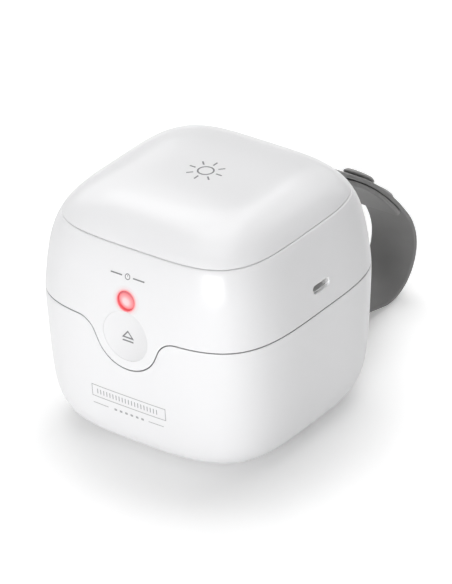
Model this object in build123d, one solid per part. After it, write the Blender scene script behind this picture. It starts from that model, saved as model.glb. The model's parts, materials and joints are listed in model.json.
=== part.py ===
"""Pocket UV-C sanitizer box with a hinged lid, a latch button, a start button and a hanging strap.

Units are millimetres. X is to the right, -Y is the front, +Z is up. The origin is the middle of the
face that the box rests on. The lid hinges at the back and the strap hangs behind the lid.
"""
from build123d import *
import math
import os

# ---- outside form -------------------------------------------------------------------------------
body_half = 40.0         # half width, where the tapers above and below the seam would meet
base_height = 43.4       # rest plane of the bare form up to the lid seam
lid_rise = 32.9          # lid seam up to the crown
lid_roundness = 4.22     # exponent of the crown profile: higher is squarer
base_roundness = 6.97    # exponent of the bottom profile
lid_taper = 0.00277      # share of the half width lost per mm above the seam
base_taper = 0.00087     # share of the half width lost per mm below the seam
taper_blend = 3.0        # height over which one taper turns into the other
plan_roundness = 3.86    # exponent of the rounded-square plan at the seam
plan_squaring = 0.0065   # added to that exponent per mm of height
plan_points = 40         # points on each plan outline
# plan outlines, as shares of the way from the seam down to the bottom and up to the crown
base_sections = [0.975, 0.95, 0.91, 0.85, 0.76, 0.64, 0.48, 0.28, 0.1]
lid_sections = [0.0, 0.1, 0.25, 0.42, 0.58, 0.71, 0.81, 0.88, 0.93, 0.965, 0.985, 0.9965]
foot_gap = 0.4           # the flat underside stands this far above the rest face
cover_height = 23.6      # lid seam up to the seam of the top cover

# ---- walls, seams and clearances ----------------------------------------------------------------
wall = 2.0               # moulded shells
seam_gap = 0.2           # visible gap between two shells
fit_gap = 0.15           # one moulding sliding into another
running_gap = 0.05       # radial clearance of a turning pin
press_gap = 0.01         # radial clearance of a pin that stays put
hole_gap = 0.2           # radial, screw through a clearance hole
soft_gap = 0.15          # soft part over the face that it seals on
seat_gap = 0.05          # one flat piece seated on another
bite = 0.3               # how far a feature runs into the wall that it grows from
cover_wall = 2.6
cover_lap = 1.1          # lip above the cover's own seam, where it joins the cover
lip_wall = 1.2           # locating lip of the top cover
lip_depth = 3.2
thin_wall = 1.2          # chamber liner and lid pan

# ---- latch tongue and the two buttons -----------------------------------------------------------
open_drop = 2.1          # centre of the latch button below the seam
open_radius = 7.8        # its hole
open_cap = 1.6           # cap thickness
open_travel = 1.6
dish_depth = 0.7         # finger dish in the cap
dish_radius = 7.2
open_stem = (8.0, 0.5)   # width of the bar behind the cap, and its underside above the seam
tongue_margin = 3.0      # tongue outside the button hole
tongue_flank = 66.0      # degrees, slope of the tongue's straight flank
shoulder_radius = 6.6    # fillet between the flank and the seam
shoulder_run = 0.5       # level run beside each fillet
pocket_depth = 3.5       # recess in the base behind the tongue, from the outside face
pocket_wall = 1.4
pocket_drop = 0.4        # pocket walls end this far below the rim
start_lift = 9.0         # centre of the start button above the seam
start_radius = 2.9       # its hole
start_travel = 0.6
start_dome = 9.0         # radius of its crowned face
button_gap = 0.15        # radial gap round both caps
button_shy = 0.02        # both caps behind the outside form
flange_proud = 0.6       # start button's flange outside its hole
flange_set = 0.25        # flange behind the lid wall
start_flange = 0.6       # its thickness
stem_radius = 1.2
stem_run = 0.4           # stem behind the flange

# ---- latch --------------------------------------------------------------------------------------
keeper_wall = 0.5
keeper_side = 0.5        # keeper past each side of the hook
keeper_lift = 2.2        # its lower edge above the hook's lower edge
keeper_drop = 0.2        # its top below the liner flange
nose_gap = 0.35          # hook nose to keeper
nose_depth = 0.3
nose_height = 1.6
arm_wall = 1.0
arm_half = 5.0
arm_drop = 4.4           # hook's lower edge below the liner flange
arm_side_gap = 0.8       # hook in the liner's notch
slot_gap = 0.25          # hook at full travel to the back of its slot
slider_half = 6.0
slider_height = 3.7
slider_lift = 0.2        # slider above the pan flange's underside
stem_length = 1.3        # bar from the cap to the slider
guide_gap = 0.3
guide_wall = 1.4
guide_roof = 1.2
roof_depth = 1.2
spring_wire = 0.2        # radius
spring_radius = 1.1
spring_turns = 4.0

# ---- chamber ------------------------------------------------------------------------------------
chamber_inset = 11.0     # inside of the liner from the outside of the body
chamber_corner = 11.0
chamber_floor = 6.5      # height of its floor above the rest face
flange_drop = 0.8        # liner flange below the seam
flange_wall = 1.2
pan_inset = 13.0         # inside of the lid pan from the outside of the body
pan_corner = 10.0
pan_flange_lift = 1.0    # underside of the pan flange above the seam
pan_depth = 5.2          # pan flange underside up to the pan ceiling
seal_width = 1.7
seal_margin = 0.3        # seal outside the chamber's mouth

# ---- hinge --------------------------------------------------------------------------------------
hinge_offset = 2.8       # axis behind the back face at the seam
knuckle_radius = 2.6
hinge_pin_radius = 1.0
knuckle_start = 13.4     # inner end of each hinge from the middle plane
knuckle_length = 2.4     # each of the two base knuckles
lid_knuckle = 3.3        # the lid knuckle between them
knuckle_gap = 0.25

# ---- strap and its bar --------------------------------------------------------------------------
bar_radius = 1.5
bar_behind = 4.0         # bar axis behind the body's half width
bar_lift = 11.6          # bar axis above the seam
ear_wall = 2.0
ear_radius = 2.4
strap_width = 16.0
strap_thickness = 1.4
strap_x = 4.0            # middle of the strap
strap_side_gap = 0.4     # strap edge to ear
wrap_gap = 0.2           # strap round the bar
layer_gap = 0.25         # between the two overlapped layers
strap_slope = 32.3       # degrees below level, where the strap leaves the bar
upper_bend = (101.0, 21.0)   # centre-line radius and turn in degrees, then the same again
outer_bend = (22.5, 21.0)
lower_bend = 13.9        # centre-line radius
bottom_rise = 12.0       # degrees above level, where the loop turns back towards the box
wall_bend = 5.0
strap_floor_gap = 1.0    # underside of the loop above the rest face
tail_short = 3.44        # the free end, under the outer layer, before the end of the upper bend
stud_margin = 3.5        # last stud before the free end
stud_pitch = 14.6
stud_head = (4.9, 1.4)   # radius and thickness
stud_lift = 0.5          # head above the strap
stud_stem = 1.8          # radius
stud_rounding = 0.45
stud_skin = 0.4          # silicone left under the stem's blind hole
stud_count = 2

# ---- electronics --------------------------------------------------------------------------------
board_wall = 1.2
window_half = 13.0
board_corner = 2.0
window_wall = 1.0
window_ledge = 2.0       # pan ceiling under the window's edge
window_gap = 0.1         # UV LEDs above the window
uv_board_half = 16.5
uv_led_size = (3.5, 1.2)
uv_led_bevel = 0.25
uv_led_spot = 6.0        # each UV LED from both middle planes
main_board_size = (46.0, 40.0)
main_board_lift = 1.6    # underside above the UV board
post_inset = (2.5, 2.0)  # post centres from the edges of the main board and of the UV board
chip_width = 2.6         # the main board's connector and chips, along X
chip_margin = 1.0        # board edge to them
connector_size = (12.0, 1.4)       # length along Y and height
chip_places = [(-5.0, 6.0, 1.0), (4.5, 5.0, 0.8)]    # middle, length and height of each chip
battery_size = (36.0, 30.0, 6.0)
battery_rounding = 1.2
tape_wall = 1.1
tape_margin = 4.0        # battery outside its tape
usb_y = 0.5
usb_lift = 7.6           # socket centre above the seam
usb_size = (5.6, 7.5, 2.45)        # Micro-USB receptacle: depth, width and height of its shell
usb_metal = 0.3          # leaves 6.9 by 1.85 inside for the plug
usb_bevel = 0.8
usb_rounding = 0.8       # its upper corners
usb_blade = (3.8, 0.6, 1.2)        # width, thickness and set-back of the contact tongue
usb_gap = 0.25           # shell to the opening in the lid wall
usb_set_back = 0.5       # socket mouth behind the outside face
usb_board_half = 7.6
usb_screw_spot = 5.5     # socket board's screws from its middle
usb_board_gap = 0.4      # board edge to the lid wall
button_board_half = 9.0
button_board_rise = 5.6  # board above the start button's axis
button_post_spot = (7.0, 3.4)      # its posts from the axis, sideways and up
tact_size = (4.5, 2.4)
tact_floor = 0.4         # switch body behind its plunger
tact_gap = 0.1           # plunger at full travel to that floor
plunger_lift = 0.9       # plunger in front of the switch body
red_led_size = (1.6, 3.0, 1.0)     # width, height and depth
red_led_spot = 3.4       # each red LED from the start button's axis
hall_size = (4.0, 3.0, 1.4)
board_post = 1.9         # radius
board_screw = (0.7, 1.4, 0.9)      # shank radius, head radius and head height
board_bite = 2.0         # board screws into their posts
shell_screw = (0.9, 1.9, 1.2)
screw_gap = 0.03         # radial, shank in its hole
screw_web = 1.5          # plastic under a base screw's head
hole_spare = 0.6         # blind hole past the end of its screw
boss_radius = 3.0
lid_boss = 9.0           # height of the bosses for the lid screws
lid_screw_length = 8.0
lid_screw_inset = 10.4   # lid screws from the outside of the body, both ways
base_screw_spot = 17.0
pad_half = 23.0
pad_corner = 8.0
pad_rounding = 0.2
pad_proud = 0.4
pad_recess = 0.5
magnet_inset = 6.0       # magnet from the body's right side
magnet_beside = 4.9      # magnet in front of the socket board
magnet_size = (2.5, 2.0)
magnet_wall = 0.9
magnet_lip = 0.3

# ---- heights worked out from the sizes above ----------------------------------------------------
seam_z = base_height
cover_z = seam_z + cover_height
crown_z = seam_z + lid_rise
open_z = seam_z - open_drop
start_z = seam_z + start_lift
usb_z = seam_z + usb_lift
bar_z = seam_z + bar_lift
reach = 4 * body_half    # larger than the box, for cutting blocks


# ---- the rounded form ---------------------------------------------------------------------------
def scale_at(z, inset=0.0):
    """Half width at height z of the form shrunk by inset, in mm."""
    d = z - seam_z
    rise, power = (lid_rise, lid_roundness) if d > 0 else (base_height, base_roundness)
    share = min(abs(d) / (rise - inset), 1.0)
    bulge = (1 - share**power) ** (1 / power)
    lean = (lid_taper - base_taper) / 2 * d + (lid_taper + base_taper) / 2 * math.hypot(d, taper_blend)
    return (body_half - inset) * bulge * (1 - lean)


def plan_outline(half, z):
    """Closed rounded-square curve at height z."""
    power = plan_roundness + plan_squaring * (z - seam_z)
    angles = [2 * math.pi * step / plan_points for step in range(plan_points + 1)]
    points = []
    for angle in angles[:-1]:
        c, s = math.cos(angle), math.sin(angle)
        radius = half / (abs(c) ** power + abs(s) ** power) ** (1 / power)
        points.append(Vector(radius * c, radius * s, z))
    return Face(Wire([Edge.make_spline(points, parameters=angles, periodic=True)]))


made_forms = {}


def form(inset=0.0):
    """The whole outside form as one solid, shrunk by inset on every side."""
    if inset not in made_forms:
        lowest = (base_height - foot_gap) / base_height
        heights = [seam_z - share * (base_height - inset) for share in [lowest, *base_sections]]
        heights += [seam_z + share * (lid_rise - inset) for share in lid_sections]
        made_forms[inset] = loft([plan_outline(scale_at(z, inset), z) for z in heights])
    return made_forms[inset]


def slab(low, high):
    """Everything between two heights."""
    return Pos(0, 0, (low + high) / 2) * Box(reach, reach, high - low)


def rounded_block(half, corner, low, high):
    """Rounded-square block between two heights."""
    return Pos(0, 0, low) * extrude(RectangleRounded(2 * half, 2 * half, corner), high - low)


def post(x, y, low, high, radius):
    """Upright round bar."""
    return Pos(x, y, (low + high) / 2) * Cylinder(radius, high - low)


def rod_y(x, z, front, back, radius):
    """Round bar along Y."""
    return Pos(x, (front + back) / 2, z) * Rot(90, 0, 0) * Cylinder(radius, back - front)


def rod_x(y, z, left, right, radius):
    """Round bar along X."""
    return Pos((left + right) / 2, y, z) * Rot(0, 90, 0) * Cylinder(radius, right - left)


def block(x, y, z):
    """Box from three (low, high) pairs."""
    middle = [(a + b) / 2 for a, b in (x, y, z)]
    return Pos(*middle) * Box(x[1] - x[0], y[1] - y[0], z[1] - z[0])


def four(spot_x, spot_y=None):
    """The four mirrored places at (+-x, +-y)."""
    spot_y = spot_x if spot_y is None else spot_y
    return [(x, y) for x in (-spot_x, spot_x) for y in (-spot_y, spot_y)]


def tongue(grow=0.0):
    """Front block with the tongue's outline, grown by a gap, from the middle to beyond the front."""
    flank = math.radians(tongue_flank)
    radius = tongue_radius + grow
    shoulder = shoulder_radius - grow
    top = seam_z + seam_gap / 2 - grow
    start = Vector(radius * math.sin(flank), open_z - radius * math.cos(flank))
    along = Vector(math.cos(flank), math.sin(flank))
    tangent = shoulder * math.tan(flank / 2)
    corner = start + along * ((top - start.Y) / along.Y)
    low = corner - along * tangent
    high = corner + Vector(tangent, 0)
    ceiling = seam_z + seam_gap
    side = high.X + shoulder_run + grow
    bottom = ThreePointArc((-start.X, start.Y), (0, open_z - radius), (start.X, start.Y))
    outline = [
        bottom,
        Line((start.X, start.Y), (low.X, low.Y)),
        TangentArc((low.X, low.Y), (high.X, high.Y), tangent=(along.X, along.Y)),
        Line((high.X, high.Y), (side, high.Y)),
        Line((side, high.Y), (side, ceiling)),
        Line((side, ceiling), (-side, ceiling)),
        Line((-side, ceiling), (-side, high.Y)),
        Line((-side, high.Y), (-high.X, high.Y)),
        TangentArc((-high.X, high.Y), (-low.X, low.Y), tangent=(1, 0)),
        Line((-low.X, low.Y), (-start.X, start.Y)),
    ]
    face = Plane.XZ * make_face(outline)
    return extrude(face, 2 * body_half, dir=(0, -1, 0))


# ---- shared places ------------------------------------------------------------------------------
tongue_radius = open_radius + tongue_margin
flange_top = seam_z - flange_drop
flange_bottom = flange_top - flange_wall
chamber_half = body_half - chamber_inset
liner_half = chamber_half + thin_wall
pan_half = body_half - pan_inset
pan_outer = pan_half + thin_wall
pan_flange = seam_z + pan_flange_lift
pan_flange_top = pan_flange + flange_wall
pan_ceiling = pan_flange + pan_depth
pan_top = pan_ceiling + thin_wall

hinge_y = scale_at(seam_z) + hinge_offset
hinge_length = 2 * (knuckle_length + knuckle_gap) + lid_knuckle
bar_y = body_half + bar_behind

front_face = -scale_at(open_z)                   # outside face at the latch button
cap_back = front_face + open_cap
pocket_back = -scale_at(open_z, pocket_depth + pocket_wall)
keeper_face = pocket_back + keeper_wall
arm_front = keeper_face + nose_gap + nose_depth
arm_back = arm_front + arm_wall
arm_bottom = flange_top - arm_drop
slot_back = arm_back + open_travel + slot_gap
slider_front = cap_back + stem_length
slider_bottom = pan_flange + slider_lift
slider_top = slider_bottom + slider_height
guide_top = slider_top + guide_roof

start_front = -scale_at(start_z)
start_flange_front = flange_set - scale_at(start_z + start_radius + flange_proud, wall)
stem_end = start_flange_front + start_flange + stem_run
button_board_front = stem_end + seat_gap + plunger_lift + tact_size[1]
button_post_x, button_post_z = button_post_spot[0], start_z + button_post_spot[1]

uv_board_z = pan_top + window_wall + window_gap + uv_led_size[1]
main_board_z = uv_board_z + board_wall + main_board_lift
usb_board_z = usb_z - usb_size[2] / 2 - board_wall
usb_post_x = pan_outer + board_post + bite
lid_screw_spot = body_half - lid_screw_inset
base_seat = foot_gap + pad_recess + shell_screw[2]    # under the base screws' heads
magnet_x, magnet_y = body_half - magnet_inset, usb_y - usb_board_half - magnet_beside


# ---- base ---------------------------------------------------------------------------------------
def hinge_knuckle(side, start, length, up):
    """Round knuckle with a web to the back wall, below (up=-1) or above (up=1) the seam."""
    left, right = sorted((side * start, side * (start + length)))
    knuckle = rod_x(hinge_y, seam_z, left, right, knuckle_radius)
    near = seam_z + up * seam_gap / 2
    far = seam_z + up * knuckle_radius
    web = block((left, right), (hinge_y - hinge_offset - wall / 2, hinge_y), sorted((near, far)))
    return knuckle + web


def hinge_rod(side, radius):
    """Bar through all the knuckles of one hinge."""
    left, right = sorted((side * knuckle_start, side * (knuckle_start + hinge_length)))
    return rod_x(hinge_y, seam_z, left, right, radius)


def base_shell():
    rim = seam_z - seam_gap / 2
    shell = (form() - form(wall)) & slab(0, rim)
    shell -= tongue(seam_gap)
    behind = form(pocket_depth + pocket_wall)
    around = tongue(seam_gap + pocket_wall)
    sides = (around - tongue(seam_gap)) & (form(wall - bite) - behind)
    back = around & (form(pocket_depth) - behind)
    shell += (sides + back) & slab(0, rim - pocket_drop)
    shell -= rounded_block(pad_half, pad_corner, 0, foot_gap + pad_recess)
    shank, head, head_height = shell_screw
    for x, y in four(base_screw_spot):
        shell += post(x, y, base_seat, base_seat + screw_web, boss_radius + wall / 2)
        shell -= post(x, y, 0, base_seat, head + hole_gap)
        shell -= post(x, y, 0, base_seat + screw_web, shank + hole_gap)
    for side in (-1, 1):
        shell += hinge_knuckle(side, knuckle_start, knuckle_length, -1)
        shell += hinge_knuckle(side, knuckle_start + hinge_length - knuckle_length, knuckle_length, -1)
        shell -= hinge_rod(side, hinge_pin_radius + press_gap)
    return shell


def chamber_liner():
    """Open box with a flange that rests against the base shell, with its screw bosses under it."""
    corner = chamber_corner + thin_wall
    outside = rounded_block(liner_half, corner, chamber_floor - thin_wall, flange_top)
    flange = form(wall + fit_gap) & slab(flange_bottom, flange_top)
    flange -= tongue(seam_gap + pocket_wall + fit_gap) - form(pocket_depth + pocket_wall + fit_gap)
    liner = outside + flange
    notch = arm_half + arm_side_gap
    liner -= block((-notch, notch), (-reach, slot_back), (flange_bottom - bite, flange_top + bite))
    liner -= rounded_block(chamber_half, chamber_corner, chamber_floor, flange_top + bite)
    for x, y in four(base_screw_spot):
        foot = base_seat + screw_web + seat_gap
        liner += post(x, y, foot, chamber_floor - thin_wall / 2, boss_radius)
        liner -= post(x, y, 0, chamber_floor - bite, shell_screw[0] + screw_gap)
    radius, height = magnet_size
    cup_floor = flange_bottom - height - magnet_lip
    liner += post(magnet_x, magnet_y, cup_floor, flange_bottom, radius + magnet_wall)
    liner -= post(magnet_x, magnet_y, 0, flange_bottom, radius + screw_gap)
    return liner


def foot_pad():
    low = foot_gap - pad_proud
    pad = rounded_block(pad_half - fit_gap, pad_corner - fit_gap, low, foot_gap + pad_recess)
    return fillet(pad.edges().group_by(Axis.Z)[0], pad_rounding)


def screw(x, y, seat, length, size, up=1):
    """Pan-head screw whose head bears on the seat; its shank runs up or down from there."""
    shank, head, height = size
    under = seat - up * height
    body = post(x, y, *sorted((seat, under)), head)
    body = fillet(body.edges().group_by(Axis.Z)[0 if up > 0 else -1], height / 3)
    body -= post(x, y, *sorted((under, under + up * height / 2)), head / 3)
    return body + post(x, y, *sorted((seat, seat + up * length)), shank)


def base_screws():
    length = chamber_floor - bite - seat_gap - base_seat
    return [screw(x, y, base_seat, length, shell_screw) for x, y in four(base_screw_spot)]


def latch_keeper():
    half = arm_half + keeper_side
    return block((-half, half), (pocket_back + seat_gap, keeper_face),
                 (arm_bottom + keeper_lift, flange_top - keeper_drop))


def safety_magnet():
    radius, height = magnet_size
    return post(magnet_x, magnet_y, flange_bottom - height, flange_bottom, radius)


def hinge_pins():
    return [hinge_rod(side, hinge_pin_radius) for side in (-1, 1)]


# ---- lid ----------------------------------------------------------------------------------------
def ear_places():
    """Left edge of each of the two plates beside the strap."""
    half = strap_width / 2 + strap_side_gap
    return (strap_x - half - ear_wall, strap_x + half)


def strap_ear(x):
    """Plate beside the strap that carries the bar, joined to the back wall."""
    nose = rod_x(bar_y, bar_z, x, x + ear_wall, ear_radius)
    root = scale_at(bar_z) - wall / 2
    return nose + block((x, x + ear_wall), (root, bar_y), (bar_z - ear_radius, bar_z + ear_radius))


def lid_shell():
    skin = form() - form(wall)
    shell = skin & slab(seam_z + seam_gap / 2, cover_z - seam_gap / 2)
    shell += skin & tongue() & slab(0, seam_z + seam_gap)
    shell -= rod_y(0, open_z, -reach, -body_half / 2, open_radius)
    shell -= rod_y(0, start_z, -reach, -body_half / 2, start_radius)
    slot = SlotOverall(usb_size[1] + 2 * usb_gap, usb_size[2] + 2 * usb_gap)
    slot = Plane.YZ * Pos(usb_y, usb_z) * slot
    shell -= Pos(body_half / 2, 0, 0) * extrude(slot, body_half, dir=(1, 0, 0))
    inside = form(wall / 2)
    boss_top = pan_flange_top + lid_boss
    screw_end = pan_flange + lid_screw_length + hole_spare
    for x, y in four(lid_screw_spot):
        shell += post(x, y, pan_flange_top, boss_top, boss_radius) & inside
        shell -= post(x, y, 0, screw_end, shell_screw[0] + screw_gap)
    for x in (-button_post_x, button_post_x):
        shell += rod_y(x, button_post_z, -body_half, button_board_front, board_post) & inside
        hole_end = button_board_front - board_bite - hole_spare
        shell -= rod_y(x, button_post_z, hole_end, 0, board_screw[0] + screw_gap)
    for x in ear_places():
        shell += strap_ear(x)
    shell -= rod_x(bar_y, bar_z, strap_x - strap_width, strap_x + strap_width, bar_radius + press_gap)
    start = knuckle_start + knuckle_length + knuckle_gap
    for side in (-1, 1):
        shell += hinge_knuckle(side, start, lid_knuckle, 1)
        shell -= hinge_rod(side, hinge_pin_radius + running_gap)
    return shell


def top_cover():
    low = cover_z + seam_gap / 2
    dome = (form() - form(cover_wall)) & slab(low, crown_z + wall)
    inner = wall + fit_gap
    lip = (form(inner) - form(inner + lip_wall)) & slab(cover_z - lip_depth, low + cover_lap)
    return dome + lip


def lid_pan():
    """Tray that closes the lid's underside and holds the UV window, boards and latch guide."""
    pan = form(wall + fit_gap) & slab(pan_flange, pan_flange_top)
    pan += rounded_block(pan_outer, pan_corner + thin_wall, pan_flange, pan_top)
    pan -= rounded_block(pan_half, pan_corner, pan_flange - bite, pan_ceiling)
    inner = slider_half + guide_gap
    pan -= block((-inner, inner), (-reach, slot_back), (pan_flange - bite, pan_flange_top + bite))
    pan -= rod_y(0, open_z, -reach, cap_back + open_travel + slot_gap, open_radius + button_gap)
    for side in (-1, 1):
        rail = sorted((side * inner, side * (inner + guide_wall)))
        pan += block(rail, (slider_front + stem_run, bite - pan_outer), (pan_flange_top - bite, guide_top))
    pan += block((-inner, inner), (arm_back - roof_depth, arm_back), (slider_top + guide_gap, guide_top))
    opening = window_half - window_ledge
    pan -= block((-opening, opening), (-opening, opening), (pan_ceiling - bite, pan_top + bite))
    hole = board_screw[0] + screw_gap
    for x, y in four(uv_board_half - post_inset[1]):
        pan += post(x, y, pan_top - bite, uv_board_z, board_post)
        pan -= post(x, y, pan_ceiling + bite, uv_board_z, hole)
    for x, y in main_post_places():
        pan += post(x, y, pan_top - bite, main_board_z, board_post)
        pan -= post(x, y, main_board_z - board_bite - hole_spare, main_board_z, hole)
    for x, y in four(lid_screw_spot):
        pan -= post(x, y, 0, pan_flange_top + bite, shell_screw[0] + hole_gap)
    for x, y in usb_post_places():
        pan += post(x, y, pan_flange_top - bite, usb_board_z, board_post)
        pan -= post(x, y, usb_board_z - board_bite - hole_spare, usb_board_z, hole)
    return pan


def uv_window():
    return block((-window_half, window_half), (-window_half, window_half), (pan_top, pan_top + window_wall))


def uv_board():
    board = rounded_block(uv_board_half, board_corner, uv_board_z, uv_board_z + board_wall)
    for x, y in four(uv_board_half - post_inset[1]):
        board -= post(x, y, 0, reach, board_screw[0] + hole_gap)
    return board


def uv_leds():
    size, height = uv_led_size
    parts = []
    for x, y in four(uv_led_spot):
        led = Pos(x, y, uv_board_z - height / 2) * Box(size, size, height)
        parts.append(chamfer(led.edges().group_by(Axis.Z)[0], uv_led_bevel))
    return parts


def lid_seal():
    inner = chamber_half + seal_margin
    corner = chamber_corner + seal_margin
    ring = rounded_block(inner + seal_width, corner + seal_width, flange_top + soft_gap, pan_flange)
    return ring - rounded_block(inner, corner, 0, reach)


def lid_screws():
    return [screw(x, y, pan_flange, lid_screw_length, shell_screw) for x, y in four(lid_screw_spot)]


def main_post_places():
    return four(main_board_size[0] / 2 - post_inset[0], main_board_size[1] / 2 - post_inset[0])


def main_board():
    """Board with a connector and two chips on its top face, beside the battery."""
    width, depth = main_board_size
    board = Pos(0, 0, main_board_z) * extrude(RectangleRounded(width, depth, board_corner), board_wall)
    for x, y in main_post_places():
        board -= post(x, y, 0, reach, board_screw[0] + hole_gap)
    top = main_board_z + board_wall
    edge = width / 2 - chip_margin
    length, height = connector_size
    board += block((-edge, chip_width - edge), (-length / 2, length / 2), (top, top + height))
    for middle, length, height in chip_places:
        run = (middle - length / 2, middle + length / 2)
        board += block((edge - chip_width, edge), run, (top, top + height))
    return board


def board_screws():
    length = board_wall + board_bite
    places = [(x, y, main_board_z) for x, y in main_post_places()]
    places += [(x, y, uv_board_z) for x, y in four(uv_board_half - post_inset[1])]
    places += [(x, y, usb_board_z) for x, y in usb_post_places()]
    parts = [screw(x, y, z + board_wall, length, board_screw, up=-1) for x, y, z in places]
    for x in (-button_post_x, button_post_x):
        back = Pos(x, button_board_front + board_wall, button_post_z) * Rot(-90, 0, 0)
        parts.append(back * screw(0, 0, 0, length, board_screw, up=-1))
    return parts


def battery():
    width, depth, height = battery_size
    low = main_board_z + board_wall + tape_wall
    cell = Pos(0, 0, low) * extrude(RectangleRounded(width, depth, board_corner), height)
    rims = cell.edges().group_by(Axis.Z)
    return fillet(rims[0] + rims[-1], battery_rounding)


def battery_tape():
    width, depth = battery_size[0] - 2 * tape_margin, battery_size[1] - 2 * tape_margin
    return Pos(0, 0, main_board_z + board_wall + tape_wall / 2) * Box(width, depth, tape_wall)


def usb_post_places():
    return [(usb_post_x, usb_y - usb_screw_spot), (usb_post_x, usb_y + usb_screw_spot)]


def usb_board():
    edge = scale_at(usb_board_z + board_wall, wall) - usb_board_gap
    board = block((pan_outer + bite, edge), (usb_y - usb_board_half, usb_y + usb_board_half),
                  (usb_board_z, usb_board_z + board_wall))
    for x, y in usb_post_places():
        board -= post(x, y, 0, reach, board_screw[0] + hole_gap)
    return board


def usb_socket():
    """Receptacle of folded metal with a thin contact tongue inside."""
    depth, width, height = usb_size
    blade_width, blade_wall, blade_back = usb_blade
    mouth = scale_at(usb_z) - usb_set_back
    back = mouth - depth
    half, rise = width / 2, height / 2
    corners = [(-half, rise), (half, rise), (half, usb_bevel - rise), (half - usb_bevel, -rise)]
    corners += [(usb_bevel - half, -rise), (-half, usb_bevel - rise)]
    profile = Pos(usb_y, usb_z) * Polygon(*corners, align=None)
    profile = fillet(profile.vertices().group_by(Axis.Y)[-1], usb_rounding)
    outer = Pos(back, 0, 0) * extrude(Plane.YZ * profile, depth, dir=(1, 0, 0))
    bore = Pos(back + usb_metal, 0, 0) * extrude(Plane.YZ * offset(profile, -usb_metal), depth, dir=(1, 0, 0))
    blade = block((back, mouth - blade_back), (usb_y - blade_width / 2, usb_y + blade_width / 2),
                  (usb_z + fit_gap, usb_z + fit_gap + blade_wall))
    return outer - bore + blade


def button_board():
    back = button_board_front + board_wall
    board = block((-button_board_half, button_board_half), (button_board_front, back),
                  (guide_top + window_gap, start_z + button_board_rise))
    for x in (-button_post_x, button_post_x):
        board -= rod_y(x, button_post_z, -reach, reach, board_screw[0] + hole_gap)
    return board


def tact_switch():
    size, height = tact_size
    body = Pos(0, button_board_front - height / 2, start_z) * Box(size, height, size)
    floor = button_board_front - tact_floor
    return body - rod_y(0, start_z, floor - height, floor, stem_radius + running_gap)


def indicator_leds():
    width, height, depth = red_led_size
    return [Pos(side * red_led_spot, button_board_front - depth / 2, start_z) * Box(width, depth, height)
            for side in (-1, 1)]


def hall_sensor():
    width, depth, height = hall_size
    return Pos(magnet_x, magnet_y, pan_flange_top + height / 2) * Box(width, depth, height)


def strap_bar():
    left, right = ear_places()
    return rod_x(bar_y, bar_z, left, right + ear_wall, bar_radius)


def latch_spring():
    """Compression spring between the slider and the pan wall."""
    length = -pan_outer - arm_back - 2 * (spring_wire + seat_gap)
    path = Helix(length / spring_turns, length, spring_radius)
    coil = sweep(Plane(path @ 0, z_dir=path % 0) * Circle(spring_wire), path, is_frenet=True)
    height = pan_flange_top + fit_gap + spring_radius + spring_wire
    return Pos(0, arm_back + spring_wire + seat_gap, height) * Rot(-90, 0, 0) * coil


# ---- buttons ------------------------------------------------------------------------------------
def open_button():
    cap = rod_y(0, open_z, -reach, cap_back, open_radius - button_gap) & form(button_shy)
    ball = (dish_radius**2 + dish_depth**2) / (2 * dish_depth)
    cap -= Pos(0, front_face + dish_depth - ball, open_z) * Sphere(ball)
    width, lift = open_stem
    stem = block((-width / 2, width / 2), (cap_back - bite, slider_front), (seam_z + lift, slider_top - bite))
    return cap + stem


def latch_slider():
    """Block behind the latch button with an arm down into the base and a hook nose at its end."""
    slider = block((-slider_half, slider_half), (slider_front, arm_back), (slider_bottom, slider_top))
    arm = block((-arm_half, arm_half), (arm_front, arm_back), (arm_bottom, slider_bottom + bite))
    nose = block((-arm_half, arm_half), (arm_front - nose_depth, arm_front + bite),
                 (arm_bottom, arm_bottom + nose_height))
    return slider + arm + nose


def start_button():
    cap = rod_y(0, start_z, -reach, start_flange_front + bite, start_radius - button_gap) & form(button_shy)
    cap &= Pos(0, start_front + start_dome + button_shy, start_z) * Sphere(start_dome)
    flange_back = start_flange_front + start_flange
    flange = rod_y(0, start_z, start_flange_front, flange_back, start_radius + flange_proud)
    return cap + flange + rod_y(0, start_z, start_flange_front, stem_end, stem_radius)


def switch_plunger():
    back = button_board_front - tact_floor - start_travel - tact_gap
    return rod_y(0, start_z, stem_end + seat_gap, back, stem_radius)


# ---- strap --------------------------------------------------------------------------------------
def strap_route():
    """Segments of the strap's centre line, from its outer end round the loop and the bar to its tail.

    A segment is (length, 0) for a straight run or (radius, turn in degrees) for an arc; a positive
    turn is to the right seen from +X with +Y to the right. The straight runs below the bar, along
    the bottom and up beside the box are worked out so that the loop closes.
    """
    half = strap_thickness / 2
    wrap = bar_radius + wrap_gap + half
    layer = strap_thickness + layer_gap
    slope = math.radians(strap_slope)
    start = Vector(bar_y + (wrap + layer) * math.sin(slope), bar_z + (wrap + layer) * math.cos(slope))
    rise = math.radians(bottom_rise)
    last_turn = 180 + bottom_rise - strap_slope - upper_bend[1] - outer_bend[1]
    arcs = [upper_bend, outer_bend, (lower_bend, last_turn)]
    heading, drop, out = slope, 0.0, 0.0
    for radius, turn in arcs:
        after = heading + math.radians(turn)
        drop += radius * (math.cos(heading) - math.cos(after))
        out += radius * (math.sin(after) - math.sin(heading))
        heading = after
    low = strap_floor_gap + half + lower_bend * (1 - math.cos(rise))
    first = (start.Y - low - drop) / math.sin(slope)
    back = start.X + first * math.cos(slope) + out - wall_bend * (1 - math.sin(rise))
    along = (back - bar_y + wrap) / math.cos(rise)
    up = bar_z - low - along * math.sin(rise) - wall_bend * math.cos(rise)
    tail_arc = upper_bend[0] - layer
    tail_turn = upper_bend[1] - math.degrees(tail_short / tail_arc)
    route = [(first, 0), *arcs, (along, 0), (wall_bend, 90 - bottom_rise), (up, 0)]
    route += [(wrap, 90 + strap_slope)]
    route += [(first, 0), (tail_arc, tail_turn)]
    return start, route


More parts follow.
